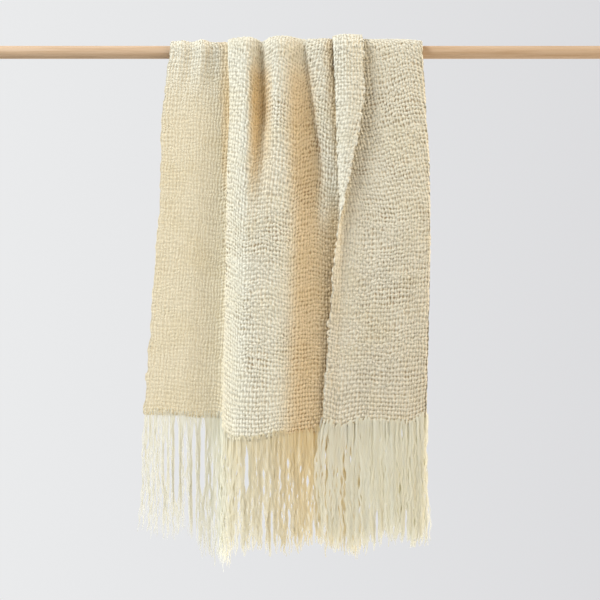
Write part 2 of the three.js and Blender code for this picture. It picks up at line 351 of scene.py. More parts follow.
# The front hem's uneven line: shares of the width, and how many wefts it rises there.
HEM_LINE = [
    (0, 0), (0.1, 0), (0.19, -0.2), (0.215, -2.4), (0.243, -2.3), (0.275, -1.8), (0.306, -1.1),
    (0.35, -0.5), (0.43, 0), (0.72, 0), (0.737, 1.3), (0.795, -0.9), (0.85, 0), (0.904, 0.5),
    (0.96, -1.5), (1, 0.3),
]
HEM_UNEVEN, HEM_SPREAD = 0.25, (2.5, 0.1)
HEM_ROWS = 14
# Painted shade: the wool is darkened and warmed within the folds, up to FOLDED_TO, where it is turned well
# to the right, or a little from FOLDED_FROM on, and in the first valley. Shares are of the width, depths
# below the rod.
FOLDED_FROM, FOLDED_TO = (0.375, 0.405), (0.66, 0.62)
TURNED_A_LITTLE, TURNED_WELL, TURNED_FAR = (0.02, 0.17), (0.2, 0.45), (0.48, 0.58)
TURNED_SHADE, FAR_SHADE, FAR_WITHIN = 0.7, 0.3, 0.32
VALLEY_REACH = 11
VALLEY_SUNK = (-0.5, 6.5)
VALLEY_SHARES, VALLEY_SHADE = (0.24, 0.27, 0.36, 0.4), (0.15, 1, 1, 0.6)
VALLEY_DEPTHS, VALLEY_FADE = (110, 180), (1, 0.45)
# Three narrow bands of the painted fold shade, by the left root, on the second flank and on the third
# shoulder:
# their shares of the width and their strengths at LEVELS.
BAND_WIDTH = 0.013
PAINTED_SHADE_BANDS = [
    ((0.137, 0.152, 0.158, 0.17, 0.175), (0.9, 0.8, 0.5, 0, 0)),
    ((0.284, 0.3, 0.311, 0.327, 0.333), (0.9, 1, 0.45, 0, 0)),
    ((0.457, 0.487, 0.507, 0.559, 0.556), (0.9, 0.9, 0.8, 0.8, 0.8)),
]
# The painted fold shade fades out towards the rod, less so outside the two shares, and is softened across
# the warp.
SHADE_DEPTHS, SHADE_FADE = (0, 25, 60, 110), (0.15, 0.25, 0.85, 1)
SHADE_SHARES, SHADE_LEAST = (0.2, 0.44), 0.8
SHADE_SOFTENINGS = 2
# Loose patches seen on the front: place along the rod, depth below it, half width, half height, strength.
LOOSE = [
    (200, 130, 62, 36, 0.9), (145, 180, 28, 20, 0.9), (135, 260, 28, 15, 0.9), (221, 266, 38, 12, 0.9),
    (191, 353, 40, 22, 1.0), (184, 444, 44, 25, 1.0), (195, 531, 33, 25, 1.0), (228, 700, 34, 14, 0.8),
    (41, 165, 24, 75, 0.75), (-43, 130, 20, 38, 0.8), (26, 310, 42, 62, 0.8), (-69, 403, 75, 40, 0.7),
    (-113, 564, 26, 40, 0.8), (-93, 668, 22, 40, 1.0), (-33, 624, 30, 30, 0.6), (-160, 364, 14, 170, 0.7),
]
# How open the weave is at shares of the width, beside the loose patches, and how unevenly.
OPEN_SHARES = (0.36, 0.4, 0.52, 0.56, 0.66, 0.7, 0.92, 0.95)
OPEN_WEAVE = (0, 0.25, 0.25, 0.05, 0.05, 0.25, 0.25, 0)
SCATTER_MEAN, SCATTER_HEIGHT, SCATTER_SPREAD = 0.5, 0.35, (2.5, 1.2)
LOOSE_LEAST, LOOSE_SCATTERED = 0.55, 0.7
STRAY_FROM, STRAY_OPEN = 0.72, 0.35
# The left panel is felted. The first ridge, the lapel's turn and the lapel are smoother than the rest:
# shares of the width, how smooth they are, and how much of that holds at depths below the rod. Where the
# painted fold shade is stronger than SMOOTH_UNTIL, nothing is smoothed.
FELTED_SHARES, FELTED_DEPTHS = (0.2, 0.16), (-60, 120)
CREST_SHARE, CREST_WIDTH, CREST_SMOOTH = 0.225, 0.025, 1.6
CREST_DEPTHS, CREST_FADE = (0, 40, 150, 260), (0.5, 1, 0.5, 0)
TURN_SHARES, TURN_SMOOTH = (0.9, 0.96), 0.8
TURN_DEPTHS, TURN_FADE = (60, 170, 620, 760), (0, 1, 1, 0.4)
LAPEL_SHARES, LAPEL_SMOOTH = (0.945, 0.965), 1.5
LAPEL_DEPTHS, LAPEL_FADE = (30, 120, 300, 420), (0, 1, 1, 0)
SMOOTH_UNTIL = 0.25

rng = np.random.default_rng(7)


def soft_noise(shape, spread):
    """Random waves of this many cells' spread along each axis, with a height of about one."""
    wide = np.fft.rfft2(rng.standard_normal(shape))
    fy = np.fft.fftfreq(shape[0])[:, None] * spread[0]
    fx = np.fft.rfftfreq(shape[1])[None] * spread[1]
    soft = np.fft.irfft2(wide * np.exp(-2 * (math.pi**2) * (fy**2 + fx**2)), shape)
    return soft / soft.std()


def rising(values, start, end):
    """Nought at start, one at end, and even between."""
    return np.clip((values - start) / (end - start), 0, 1)


i_cross, j_cross = np.meshgrid(np.arange(WARPS), np.arange(WEFTS), indexing="ij")
shape = (WARPS, WEFTS)
drift_u = sum(height * soft_noise(shape, spread) for height, spread in STRAY_ACROSS)
drift_v = sum(height * soft_noise(shape, spread) for height, spread in STRAY_ALONG)
tilt = np.interp(i_cross / WARPS, TILT_SHARES, TILT_RISE)
tilt = tilt * np.interp(j_cross / WEFTS, TILT_HEIGHTS, TILT_FADE)
from_hem = np.minimum(j_cross, WEFTS - 1 - j_cross)
ragged = np.interp(i_cross[:, :1] / WARPS, *zip(*HEM_LINE))
ragged = ragged + HEM_UNEVEN * soft_noise((WARPS, 2), HEM_SPREAD)[:, :1]
drift_v = (drift_v + tilt) * np.clip(from_hem / HEM_ROWS, 0, 1)
drift_v = drift_v + ragged * np.clip(1 - j_cross / HEM_ROWS, 0, 1)
cross_u = (i_cross + 0.5 + drift_u) / WARPS
cross_v = (j_cross + 0.5 + drift_v) / WEFTS
middle, _, _, facing = on_cloth(cross_u, cross_v)
depth = -middle[..., 2] / MM
in_front = middle[..., 1] < 0

# The painted fold shade: how far the wool at each crossing is darkened and warmed.
to_right = np.where(facing[..., 1] < 0, facing[..., 0], 0)
past_ridges = rising(cross_u, *FOLDED_FROM) * rising(to_right, *TURNED_A_LITTLE)
painted_fold_shade = TURNED_SHADE * np.maximum(past_ridges, rising(to_right, *TURNED_WELL))
painted_fold_shade = painted_fold_shade + FAR_SHADE * rising(to_right, *TURNED_FAR) * (cross_u < FAR_WITHIN)
stand_out = np.pad(-middle[..., 1], ((VALLEY_REACH, VALLEY_REACH), (0, 0)), mode="edge")
neighbours = np.lib.stride_tricks.sliding_window_view(stand_out, 2 * VALLEY_REACH + 1, axis=0).mean(axis=-1)
sunk = (neighbours + middle[..., 1]) / MM
valley_painted_shade = np.interp(cross_u, VALLEY_SHARES, VALLEY_SHADE) * np.interp(depth, VALLEY_DEPTHS, VALLEY_FADE)
painted_fold_shade = np.maximum(painted_fold_shade, valley_painted_shade * rising(sunk, *VALLEY_SUNK))
for shares, band_shades in PAINTED_SHADE_BANDS:
    off = (cross_u - np.interp(depth, LEVELS, shares)) / BAND_WIDTH
    painted_fold_shade = np.maximum(painted_fold_shade, np.interp(depth, LEVELS, band_shades) * np.exp(-(off**2)))
painted_fold_shade *= rising(cross_u, *FOLDED_TO) * in_front
outside = (cross_u < SHADE_SHARES[0]) | (cross_u > SHADE_SHARES[1])
painted_fold_shade *= np.maximum(np.interp(depth, SHADE_DEPTHS, SHADE_FADE), np.where(outside, SHADE_LEAST, 0))
for _ in range(SHADE_SOFTENINGS):
    painted_fold_shade[1:-1] = 0.25 * painted_fold_shade[:-2] + 0.5 * painted_fold_shade[1:-1] + 0.25 * painted_fold_shade[2:]

loose = np.zeros(shape)
for x, patch_depth, half_width, half_height, strength in LOOSE:
    off = ((middle[..., 0] - ROD_MIDDLE - x * MM) / (half_width * MM)) ** 2
    off = off + ((depth - patch_depth) / half_height) ** 2
    loose = np.maximum(loose, strength * np.exp(-off))
loose = np.maximum(loose, np.interp(cross_u, OPEN_SHARES, OPEN_WEAVE)) * in_front
scatter = np.clip(SCATTER_MEAN + SCATTER_HEIGHT * soft_noise(shape, SCATTER_SPREAD), 0, 1)
stray = STRAY_OPEN * np.clip(scatter - STRAY_FROM, 0, 1)
loose = np.clip(loose * (LOOSE_LEAST + LOOSE_SCATTERED * scatter) + stray, 0, 1)

felted = rising(i_cross / WARPS, *FELTED_SHARES) * rising(depth, *FELTED_DEPTHS)
crest = np.exp(-(((cross_u - CREST_SHARE) / CREST_WIDTH) ** 2)) * np.interp(depth, CREST_DEPTHS, CREST_FADE)
lapel_turn = rising(cross_u, *TURN_SHARES) * np.interp(depth, TURN_DEPTHS, TURN_FADE)
lapel = rising(cross_u, *LAPEL_SHARES) * np.interp(depth, LAPEL_DEPTHS, LAPEL_FADE)
smooth = np.maximum.reduce([felted, CREST_SMOOTH * crest, TURN_SMOOTH * lapel_turn, LAPEL_SMOOTH * lapel])
# One measure for the finishes: above nought how strong the painted fold shade is, below it how smooth the
# cloth is.
fold_shade_and_smoothness = painted_fold_shade - smooth * in_front * (1 - rising(painted_fold_shade, 0, SMOOTH_UNTIL))

# Painted shade: the heart's darker colour stands for the shade between the yarns.
heart, tree, shader, place = finish_named("heart_painted_shade")
matted = mottle(tree, place, scale=160, detail=3)
colour = two_tones(tree, matted, HEART_SHADE_DEEP, HEART_SHADE_PALE)
fold = add(tree, "ShaderNodeAttribute", attribute_name="fold").outputs["Fac"]
# Painted shade: the heart is darkened and warmed within the folds, as the wool is.
colour = tinted(tree, fold, colour, WOOL_PAINTED_FOLD_SHADE)
openness = add(tree, "ShaderNodeAttribute", attribute_name="openness").outputs["Fac"]
# Painted shade: darker still where the weave is open.
colour = tinted(tree, openness, colour, HEART_OPEN_SHADE)
tree.links.new(colour, shader.inputs["Base Color"])
roughen(tree, shader, matted, strength=0.3, distance=HEART_HEIGHT)
shader.inputs["Roughness"].default_value = 1.0
shader.inputs["Specular IOR Level"].default_value = 0.0

first_corner = (i_cross[:-1, :-1] * WEFTS + j_cross[:-1, :-1]).ravel()
cells = np.stack([first_corner, first_corner + WEFTS, first_corner + WEFTS + 1, first_corner + 1], axis=1)
spread_rows = np.diff(drift_v, axis=1)[:-1]
worn_through = (loose[:-1, :-1] * (1 + WORN_BY_SPREAD * spread_rows)).ravel() > WORN_THROUGH
ground_mesh = bpy.data.meshes.new("blanket_ground")
ground_mesh.from_pydata(middle.reshape(-1, 3).tolist(), [], cells[~worn_through].tolist(), shade_flat=False)
ground_mesh.attributes.new("fold", "FLOAT", "POINT").data.foreach_set("value", fold_shade_and_smoothness.ravel())
ground_mesh.attributes.new("openness", "FLOAT", "POINT").data.foreach_set("value", loose.ravel())
ground = put_on(ground_mesh, "blanket_ground", heart)
thicken = ground.modifiers.new("thickness", "SOLIDIFY")
thicken.thickness = GROUND_THICKNESS
thicken.offset = 0
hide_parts("blanket")


# The warp: the long yarns, from hem to hem over the rod, soft thick singles that bend over and under
# every weft. Each is a four-sided strand, two rings to a crossing, thick and thin as hand spinning is.
WARP_WIDTH = 4.2 * MM
WARP_DEPTH = 1.1 * MM
WARP_RISE = 0.45 * MM
WARP_SLUB = 0.14
SLUB_SPREAD = (0.4, 5)
LOOSE_THINNING = 0.24
YARN_ROUND = 0.8
FELT_FILL, FELT_CALM, FELT_FLAT = 0.5, 0.75, 0.8
WOOL_PALE = (0.87, 0.81, 0.64, 1)
WOOL_DEEP = (0.83, 0.755, 0.56, 1)
WOOL_STOPS = (0.75, 1)
# Painted shade: the colour the wool is brought to in the lines and dots between the yarns.
WOOL_PAINTED_GAP_SHADE = (0.50, 0.42, 0.29, 1)
NUB_SHARE = 0.6
NUB_HEIGHT = 1.6 * MM
# The wool is tinted yellower on the left below the rod, and given painted shade on the right towards the
# hem.
WOOL_YELLOWER = (1.02, 0.96, 0.86, 1)
YELLOWER_ACROSS = (ROD_MIDDLE - 120 * MM, ROD_MIDDLE - 180 * MM)
YELLOWER_BELOW = (5 * MM, -150 * MM)
WOOL_PAINTED_HEM_SHADE = (0.91, 0.885, 0.865, 1)
SHADED_ACROSS = (ROD_MIDDLE - 30 * MM, ROD_MIDDLE + 60 * MM)
SHADED_BELOW = (-150 * MM, -750 * MM)
# Painted shade between the yarns: dark lines that stray by these shares of a pitch. They are thin, fainter
# along the warp, and open into dots where the weave is loose. A run has its start, its end, and what they
# are brought to.
LINE_STRAY = (0.55, 0.4, 0)
LINE_SHARPNESS, DOT_SHARPNESS = 8.0, 3.5
WARP_LINE_SHARE = 0.3
LINE_RANGE = (0.3, 1.7)
OPEN_LINES, OPEN_DOTS = (0, 0.7, 0.42, 0.7), (0, 0.6, 0, 1.9)
PATCHY_LINES = (0.35, 0.65, 0.4)
SMOOTHED_LINES = (-2, 0, 0.36)


def figure(tree, operation, *values):
    """One step of arithmetic in a finish."""
    return add(tree, "ShaderNodeMath", dict(enumerate(values)), operation=operation).outputs[0]


def three_figures(tree, operation, *values):
    """One step of arithmetic in a finish, on all three axes."""
    return add(tree, "ShaderNodeVectorMath", dict(enumerate(values)), operation=operation).outputs[0]


wool, tree, shader, place = finish_named("cream_wool")
clouds = [mottle(tree, place, scale, detail=2) for scale in (14, 380)]
colour = two_tones(tree, figure(tree, "ADD", *clouds), WOOL_DEEP, WOOL_PALE, WOOL_STOPS)
spot = add(tree, "ShaderNodeSeparateXYZ", {"Vector": place}).outputs
# The second tint is painted shade, darker on the right towards the hem.
for tint, across_run, below_run in (
    (WOOL_YELLOWER, YELLOWER_ACROSS, YELLOWER_BELOW), (WOOL_PAINTED_HEM_SHADE, SHADED_ACROSS, SHADED_BELOW),
):
    sideways = ranged(tree, spot["X"], *across_run)
    below = ranged(tree, spot["Z"], *below_run)
    colour = tinted(tree, figure(tree, "MULTIPLY", sideways, below), colour, tint)
weave = add(tree, "ShaderNodeAttribute", attribute_name="weave").outputs["Vector"]
fold = add(tree, "ShaderNodeSeparateXYZ", {"Vector": weave}).outputs["Z"]
# Painted shade: the wool is darkened and warmed within the folds.
colour = tinted(tree, fold, colour, WOOL_PAINTED_FOLD_SHADE)
uneven = mottle(tree, place, scale=130, detail=1).node.outputs["Color"]
strayed = three_figures(tree, "MULTIPLY_ADD", uneven, LINE_STRAY, weave)
half_stray = tuple(-math.pi * stray_share for stray_share in LINE_STRAY)
angles = three_figures(tree, "MULTIPLY_ADD", strayed, (2 * math.pi,) * 3, half_stray)
waves = three_figures(tree, "COSINE", angles)
hollows = three_figures(tree, "MULTIPLY_ADD", waves, (-0.5, -0.5, 0), (0.5, 0.5, 0))
hollows = add(tree, "ShaderNodeSeparateXYZ", {"Vector": hollows}).outputs
corner = figure(tree, "MULTIPLY", hollows["X"], hollows["Y"])
warp_line, weft_line = (figure(tree, "POWER", hollows[axis], LINE_SHARPNESS) for axis in "XY")
lines = figure(tree, "ADD", weft_line, corner)
lines = figure(tree, "MULTIPLY_ADD", warp_line, WARP_LINE_SHARE, lines)
openness = add(tree, "ShaderNodeAttribute", attribute_name="openness").outputs["Fac"]
lines = figure(tree, "MULTIPLY", ranged(tree, lines, *LINE_RANGE), ranged(tree, openness, *OPEN_LINES))
dots = figure(tree, "POWER", corner, DOT_SHARPNESS)
gap_shade = figure(tree, "MULTIPLY_ADD", dots, ranged(tree, openness, *OPEN_DOTS), lines)
patches = mottle(tree, place, scale=45, detail=2)
gap_shade = figure(tree, "MULTIPLY", gap_shade, ranged(tree, patches, *PATCHY_LINES))
smoothed = ranged(tree, fold, *SMOOTHED_LINES)
gap_shade = figure(tree, "MULTIPLY", gap_shade, smoothed)
# Painted shade: the wool is darkened along the lines and dots between the yarns.
tree.links.new(tinted(tree, gap_shade, colour, WOOL_PAINTED_GAP_SHADE), shader.inputs["Base Color"])
fibres = mottle(tree, place, scale=700, detail=3)
nubs = figure(tree, "ADD", hollows["X"], hollows["Y"])
nubs = figure(tree, "MULTIPLY", nubs, smoothed)
relief = figure(tree, "MULTIPLY_ADD", nubs, -NUB_SHARE, fibres)
roughen(tree, shader, relief, strength=1.0, distance=NUB_HEIGHT)
shader.inputs["Roughness"].default_value = 0.95
shader.inputs["Specular IOR Level"].default_value = 0.1
shader.inputs["Sheen Weight"].default_value = 0.25
shader.inputs["Sheen Roughness"].default_value = 0.5


def strands(name, path, side, face, width, depth, roundness, weave, weave_side, openness, material):
    """Rows of points as one joined mesh of soft strands, each ring a diamond on the cloth's face.

    The place in the weave and its openness go along as attributes, which the finish reads.
    """
    if np.dot(np.cross(side[0, 0], face[0, 0]), path[0, 1] - path[0, 0]) < 0:
        face = -face
    sides = (side, face, -side, -face)
    reach = (width[..., None], depth[..., None]) * 2
    rings = np.stack([path + way * far for way, far in zip(sides, reach)], axis=2)
    count, length, corners, _ = rings.shape
    number = np.arange(count * length * corners).reshape(count, length, corners)
    following = np.roll(number, -1, axis=2)
    walls = np.stack([number[:, :-1], following[:, :-1], following[:, 1:], number[:, 1:]], axis=3)
    caps = np.concatenate([number[:, 0, ::-1], number[:, -1]])
    faces = np.concatenate([walls.reshape(-1, corners), caps])
    mesh = bpy.data.meshes.new(name)
    mesh.from_pydata(rings.reshape(-1, 3).tolist(), [], faces.tolist(), shade_flat=False)

    rim = np.stack([side, 0 * side, -side, 0 * side], axis=2) * roundness[..., None, None]
    front, behind = unit(rim + face[:, :, None]), unit(rim - face[:, :, None])
    here = np.stack([front[:, :, 0], front[:, :, 1], behind[:, :, 2], behind[:, :, 3]], axis=2)
    there = np.stack([front[:, :, 1], front[:, :, 2], behind[:, :, 3], behind[:, :, 0]], axis=2)
    wall_normals = np.stack([here[:, :-1], there[:, :-1], there[:, 1:], here[:, 1:]], axis=3)
    ahead = np.cross(side, face)
    cap_normals = np.repeat(np.concatenate([-ahead[:, 0], ahead[:, -1]]), corners, axis=0)
    mesh.normals_split_custom_set(np.concatenate([wall_normals.reshape(-1, 3), cap_normals]).tolist())

    cells = np.stack([weave + weave_side, weave, weave - weave_side, weave], axis=2).astype(np.float32)
    mesh.attributes.new("weave", "FLOAT_VECTOR", "POINT").data.foreach_set("vector", cells.ravel())
    open_here = np.repeat(openness, corners).astype(np.float32)
    mesh.attributes.new("openness", "FLOAT", "POINT").data.foreach_set("value", open_here)
    return put_on(mesh, name, material)


def between(values):
    """Values along yarns at their crossings, read a quarter pitch before and after each."""
    before = np.concatenate([values[:, :1], values[:, :-1]], axis=1)
    after = np.concatenate([values[:, 1:], values[:, -1:]], axis=1)
    pair = np.stack([0.75 * values + 0.25 * before, 0.75 * values + 0.25 * after], axis=2)
    return pair.reshape(len(values), -1)


quarters = np.stack([np.arange(WEFTS) - 0.25, np.arange(WEFTS) + 0.25], axis=1).reshape(-1)
warp_u = (np.arange(WARPS)[:, None] + 0.5 + between(drift_u)) / WARPS
warp_v = (quarters + 0.5 + between(drift_v)) / WEFTS
over = np.where((i_cross + j_cross) % 2 == 0, 1.0, -1.0)
felt = between(felted)
point, weft, warp, face = on_cloth(warp_u, warp_v)
warp_path = point + face * (np.repeat(over, 2, axis=1) * WARP_RISE * (1 - FELT_CALM * felt))[..., None]
slub = 1 + WARP_SLUB * soft_noise((WARPS, 2 * WEFTS), SLUB_SPREAD)
warp_open = between(loose)
slub = slub * (1 - LOOSE_THINNING * warp_open + FELT_FILL * felt)
warp_cell = np.stack(np.broadcast_arrays(np.arange(WARPS)[:, None], quarters, between(fold_shade_and_smoothness)), axis=2)
warp_side = np.stack([WARP_WIDTH * slub * WARPS / CLOTH_WIDTH, 0 * slub, 0 * slub], axis=2)
half = WARPS // 2
for name, rows in (("warp_yarns_left", slice(0, half)), ("warp_yarns_right", slice(half, WARPS))):
    strands(
            name, warp_path[rows], weft[rows], face[rows], WARP_WIDTH * slub[rows],
            WARP_DEPTH * slub[rows], YARN_ROUND * (1 - FELT_FLAT * felt)[rows], warp_cell[rows],
            warp_side[rows], warp_open[rows], wool,
        )


# The weft: the cross yarns, beaten in one after another and turned back at each selvedge, where two
# neighbours meet in a loop. They are a little fuller than the warp and stand proud of it.
WEFT_WIDTH = 5.1 * MM
WEFT_DEPTH = 1.5 * MM
WEFT_RISE = 0.9 * MM
WEFT_SLUB = 0.17
FLOAT_HALF = 0.34
# The two rings of a loop: how far out they reach, how far they turn to the neighbour, and their place in
# the weave, in pitches.
LOOP_REACH, LOOP_TURN, LOOP_CELL = (0.45, 0.7), (0.15, 0.5), (0.5, 0.7)
LOOP_UNEVEN, LOOP_LEAST, LOOP_MOST = 0.4, 0.3, 2.2
LOOP_RINGS = ((0, 0), (2, 2))
float_ends = np.stack([np.arange(WARPS) - FLOAT_HALF, np.arange(WARPS) + FLOAT_HALF], axis=1).reshape(-1)
number = np.arange(WEFTS)
left_mate = (number ^ 1) - number
right_mate = np.where(number % 2 == 0, -1, 1)
reach = np.clip(1 + LOOP_UNEVEN * rng.standard_normal((2, (WEFTS + 2) // 2)), LOOP_LEAST, LOOP_MOST)
left_reach = reach[0, number // 2, None]
right_reach = reach[1, (number + 1) // 2, None]
outward, turn = np.array(LOOP_REACH), np.array(LOOP_TURN)
left_i = -outward[::-1] * left_reach
left_j = (number + drift_v[0])[:, None] + turn[::-1] * left_mate[:, None]
right_i = WARPS - 1 + outward * right_reach
right_j = (number + drift_v[-1])[:, None] + turn * right_mate[:, None]
weft_i = np.concatenate([left_i, float_ends + between(drift_u.T), right_i], axis=1)
weft_j = np.concatenate([left_j, number[:, None] + between(drift_v.T), right_j], axis=1)
felt = between(felted.T)
rise = np.pad(-np.repeat(over.T, 2, axis=1) * WEFT_RISE * (1 - FELT_CALM * felt), LOOP_RINGS)
point, weft, warp, face = on_cloth((weft_i + 0.5) / WARPS, (weft_j + 0.5) / WEFTS)
weft_path = point + face * rise[..., None]
weft_open = between(loose.T)
slub = 1 + WEFT_SLUB * soft_noise(rise.shape, SLUB_SPREAD)
slub = slub * np.pad(1 - LOOSE_THINNING * weft_open + FELT_FILL * felt, LOOP_RINGS, mode="edge")
flat = 1 - FELT_FLAT / 2 * np.pad(felt, LOOP_RINGS, mode="edge")
weft_shade_and_smoothness = np.pad(between(fold_shade_and_smoothness.T), LOOP_RINGS, mode="edge")
loop_cell = np.array(LOOP_CELL)
weft_at = np.concatenate([-loop_cell[::-1], float_ends, WARPS - 1 + loop_cell])
weft_cell = np.stack(np.broadcast_arrays(weft_at, number[:, None], weft_shade_and_smoothness), axis=2)
weft_side = np.stack([0 * slub, WEFT_WIDTH * slub * WEFTS / CLOTH_LENGTH, 0 * slub], axis=2)
weft_open = np.pad(weft_open, LOOP_RINGS)
half = WEFTS // 2
for name, rows in (("weft_yarns_front", slice(0, half)), ("weft_yarns_back", slice(half, WEFTS))):
    strands(
            name, weft_path[rows], warp[rows], face[rows], WEFT_WIDTH * slub[rows],
            (WEFT_DEPTH * slub * flat)[rows], YARN_ROUND * (2 * flat - 1)[rows], weft_cell[rows],
            weft_side[rows], weft_open[rows], wool,
        )


# The fringe: the warp's own ends, left long at both hems. Below the last weft each yarn opens into
# loose plies that cling to their neighbours in locks and thin out to frayed, uneven tips.
PLY_WIDTH = 2.1 * MM
PLY_FLATNESS = 0.25
PLY_ROUND = 0.2
PLY_PLACES, PLY_TAPER = (0, 0.12, 0.85, 1), (1.0, 1.05, 0.95, 0.4)
PLY_UNEVEN, PLY_LEAST, PLY_MOST, PLY_RUN = 0.18, 0.5, 1.6, (0.3, 1.5)
PLY_TURN = 0.12
# Fringe length at places along the rod, from its middle, as the ends were cut, and how far it differs
# from lock to lock and from ply to ply.
CUT_PLACES = (-338, -270, -225, -195, -165, -140, -110, 0, 35, 70, 87, 121, 150, 175, 205, 225, 245, 271)
CUT_LENGTHS = (250, 262, 268, 308, 302, 258, 240, 236, 236, 244, 260, 272, 258, 234, 244, 248, 264, 258)
LOCK_UNCUT, PLY_UNCUT = 6, 8
# A lock has from one to five yarns. Its plies are drawn together by a share of their distance, then swing
# and wave, across and towards the viewer.
LOCK_YARNS = (1, 6)
DRAWN_BY, DRAWN_SHARE = 0.4, (0.05, 0.4)
LOCK_SWING, PLY_SWING, SWING_BEND = (2.8, 1.2), (2.5, 0.5), 1.5
PLY_WAVES, WAVE_WAYS, WAVE_FROM = [(2.2, (1.2, 2.6)), (1.5, (6, 9))], (1, 0.15), 0.25
PLY_SPREAD, PLY_STRAY = 2.9, (1.2, 0.5)
# The left edge's plies flare out, and the right edge's curl in.
FLARE, FLARE_REACH = 16 * MM, 16 * MM
CURL, CURL_YARNS, CURL_BEND = 13 * MM, 2.5, 0.8
# A ply starts up to ROOT_ABOVE over the hem's line, before the cloth or behind it, by ROOT_BEFORE.
ROOT_ABOVE = 14
ROOT_BEFORE, ROOT_FADE = (-3.6, -3.6, 2.2), 0.2
# The plies are thinner and let more light through at the left: places along the rod, from its middle.
SPARSE_PLACES, SPARSE_WIDTH = (-210, -170), (0.55, 1)
SPARSE_ACROSS, SPARSE_CLEAR = (ROD_MIDDLE - 170 * MM, ROD_MIDDLE - 230 * MM), 0.1
# Partings of the front fringe: place along the rod, from and to which share of its length, half width.
PARTINGS = [
    (-290, 0.15, 0.65, 4), (-266, 0.0, 0.8, 6), (-229, 0.1, 1.1, 5), (-210, 0.0, 0.65, 6),
    (-113, 0.05, 0.55, 6), (-60, 0.6, 1.2, 4), (30, 0.7, 1.2, 4), (108, 0.15, 0.4, 4),
    (165, 0.65, 1.2, 5), (219, 0.0, 0.22, 5), (228, 0.65, 1.2, 5),
]
PARTING_REACH, PARTING_PUSH, PARTING_EASE = 1.6, 0.6, 0.12
FRINGE_PALE = (0.98, 0.965, 0.87, 1)
FRINGE_DEEP = (0.95, 0.92, 0.79, 1)
FRINGE_STOPS = (0.35, 0.62)
# Painted shade: the colour the fringe is brought to below the folds.
FRINGE_PAINTED_FOLD_SHADE = (0.93, 0.80, 0.52, 1)
# Painted shade: the colour the fringe is brought to on the left, a little darker.
FRINGE_PAINTED_SHADE_LEFT = (0.95, 0.95, 0.95, 1)
FRINGE_STRETCH = (130, 130, 9)
FRINGE_LIT_THROUGH = 0.5
FRAYED_ALONG, FRINGE_SEEN_THROUGH = (0.5, 1), (0.32, 0.5)
# Painted shade: the darker, warmer colour of the folds goes on into the fringe's middle part and fades to
# half at the tips.
SHADED_SHARES, SHADED = (0.2, 0.25, 0.55, 0.6), (0, 1, 1, 0)
SHADE_EVEN, SHADE_OF_FOLD, SHADE_YARNS, SHADE_LOST = 0.34, 0.55, 15, 0.5


def blended(tree, share, first, second):
    """Two finishes in one, the second by this share."""
    return add(tree, "ShaderNodeMixShader", {0: share, 1: first, 2: second}).outputs[0]


fringe_wool, tree, shader, place = finish_named("loose_wool")
streaks = mottle(tree, stretched(tree, place, FRINGE_STRETCH), scale=1, detail=5)
colour = two_tones(tree, streaks, FRINGE_DEEP, FRINGE_PALE, FRINGE_STOPS)
weave = add(tree, "ShaderNodeAttribute", attribute_name="weave").outputs["Vector"]
ply = add(tree, "ShaderNodeSeparateXYZ", {"Vector": weave}).outputs
# Painted shade: the fringe below the folds is darkened and warmed.
colour = tinted(tree, ply["Z"], colour, FRINGE_PAINTED_FOLD_SHADE)
spot = add(tree, "ShaderNodeSeparateXYZ", {"Vector": place}).outputs
# Painted shade: the fringe is made darker on the left.
colour = tinted(tree, ranged(tree, spot["X"], *SHADED_ACROSS[::-1]), colour, FRINGE_PAINTED_SHADE_LEFT)
tree.links.new(colour, shader.inputs["Base Color"])
lit_through = add(tree, "ShaderNodeBsdfTranslucent", {"Color": colour}).outputs[0]
airy = blended(tree, FRINGE_LIT_THROUGH, shader.outputs[0], lit_through)
frayed = ranged(tree, ply["X"], *FRAYED_ALONG, *FRINGE_SEEN_THROUGH)
sparse = ranged(tree, spot["X"], *SPARSE_ACROSS, high=SPARSE_CLEAR)
clear = add(tree, "ShaderNodeBsdfTransparent").outputs[0]
airy = blended(tree, figure(tree, "ADD", frayed, sparse), airy, clear)
tree.links.new(airy, tree.nodes["Material Output"].inputs["Surface"])
shader.inputs["Roughness"].default_value = 0.9
shader.inputs["Specular IOR Level"].default_value = 0.15
shader.inputs["Sheen Weight"].default_value = 0.25
shader.inputs["Sheen Roughness"].default_value = 0.5


